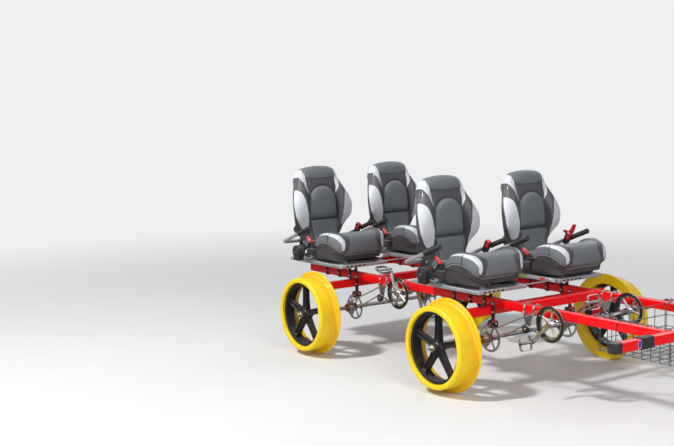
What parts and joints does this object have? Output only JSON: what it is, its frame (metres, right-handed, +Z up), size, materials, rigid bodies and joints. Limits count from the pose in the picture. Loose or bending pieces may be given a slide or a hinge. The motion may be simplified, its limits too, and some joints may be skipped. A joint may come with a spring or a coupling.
{
  "type": "four-seat pedal railway handcar",
  "caption": "Pedal railway handcar: square-tube frame on flanged yellow wheels, with high-back seats in pairs, each with cranks and a chain to its axle.",
  "frame": {"origin": "middle of the overall length and width, level with the bottoms of the wheel flanges", "axes": "+X towards the bumper, the travel direction; +Y to the rider's left; +Z up"},
  "size_m": [3.2901, 1.7, 1.2711],
  "materials": {
    "red_paint": "gloss",
    "yellow_tread": "satin",
    "black_wheel": "moulded, satin",
    "black_plastic": "matte",
    "black_rubber": "matte",
    "bright_steel": "zinc plated",
    "polished_alloy": "polished",
    "tray_alloy": "mill",
    "grey_bar": "satin",
    "seat_vinyl": "grained vinyl",
    "drive_brown": "oiled",
    "red_plastic": "gloss"
  },
  "bodies": {
    "chassis": {"side_tube_right": "red_paint", "side_tube_left": "red_paint", "front_bumper_tube": "red_paint", "front_cross_tube": "red_paint", "rear_cross_tube": "red_paint", "tail_cross_tube": "red_paint", "front_axle_carrier": "red_paint", "rear_axle_carrier": "red_paint", "front_bearing_hangers": "red_paint", "rear_bearing_hangers": "red_paint", "bumper_end_caps": "black_rubber", "bumper_sleeves": "black_rubber", "rear_end_plugs": "black_plastic", "brake_calipers": "black_plastic", "front_chains": "bright_steel", "rear_chains": "bright_steel", "front_crank_brackets": "bright_steel", "rear_crank_brackets": "bright_steel", "front_seat_trays": "tray_alloy", "rear_seat_trays": "tray_alloy", "tray_risers": "black_plastic", "seat_slides": "bright_steel", "seat_brackets": "black_plastic", "front_handle_bars": "grey_bar", "rear_handle_bars": "grey_bar", "hand_grips": "black_rubber", "belt_units": "black_plastic", "brake_lever": "red_plastic", "wire_basket": "bright_steel", "front_right_seat_cushion": "seat_vinyl", "front_right_seat_back": "seat_vinyl", "front_left_seat_cushion": "seat_vinyl", "front_left_seat_back": "seat_vinyl", "rear_right_seat_cushion": "seat_vinyl", "rear_right_seat_back": "seat_vinyl", "rear_left_seat_cushion": "seat_vinyl", "rear_left_seat_back": "seat_vinyl"},
    "front_wheelset": {"front_axle_shaft": "bright_steel", "front_drive_hubs": "drive_brown", "front_tread_ring_right": "yellow_tread", "front_tread_ring_left": "yellow_tread", "front_spoked_wheels": "black_wheel"},
    "rear_wheelset": {"rear_axle_shaft": "bright_steel", "rear_drive_hubs": "drive_brown", "rear_tread_ring_right": "yellow_tread", "rear_tread_ring_left": "yellow_tread", "rear_spoked_wheels": "black_wheel"},
    "front_right_crank": {"front_right_crankset": "polished_alloy", "front_right_chain_guard": "black_plastic", "front_right_pedals": "polished_alloy"},
    "front_left_crank": {"front_left_crankset": "polished_alloy", "front_left_chain_guard": "black_plastic", "front_left_pedals": "polished_alloy"},
    "rear_right_crank": {"rear_right_crankset": "polished_alloy", "rear_right_chain_guard": "black_plastic", "rear_right_pedals": "polished_alloy"},
    "rear_left_crank": {"rear_left_crankset": "polished_alloy", "rear_left_chain_guard": "black_plastic", "rear_left_pedals": "polished_alloy"}
  },
  "joints": [
    {"name": "front_axle_turn", "type": "hinge", "parent": "chassis", "child": "front_wheelset", "pos_m": [0.269, 0, 0.287], "axis": [0, 1, 0], "continuous": true},
    {"name": "rear_axle_turn", "type": "hinge", "parent": "chassis", "child": "rear_wheelset", "pos_m": [-1.111, 0, 0.287], "axis": [0, 1, 0], "continuous": true},
    {"name": "front_right_crank_turn", "type": "hinge", "parent": "chassis", "child": "front_right_crank", "pos_m": [0.827, -0.3406, 0.4632], "axis": [0, 1, 0], "continuous": true},
    {"name": "front_left_crank_turn", "type": "hinge", "parent": "chassis", "child": "front_left_crank", "pos_m": [0.827, 0.3406, 0.4632], "axis": [0, 1, 0], "continuous": true},
    {"name": "rear_right_crank_turn", "type": "hinge", "parent": "chassis", "child": "rear_right_crank", "pos_m": [-0.553, -0.3406, 0.4632], "axis": [0, 1, 0], "continuous": true},
    {"name": "rear_left_crank_turn", "type": "hinge", "parent": "chassis", "child": "rear_left_crank", "pos_m": [-0.553, 0.3406, 0.4632], "axis": [0, 1, 0], "continuous": true}
  ]
}
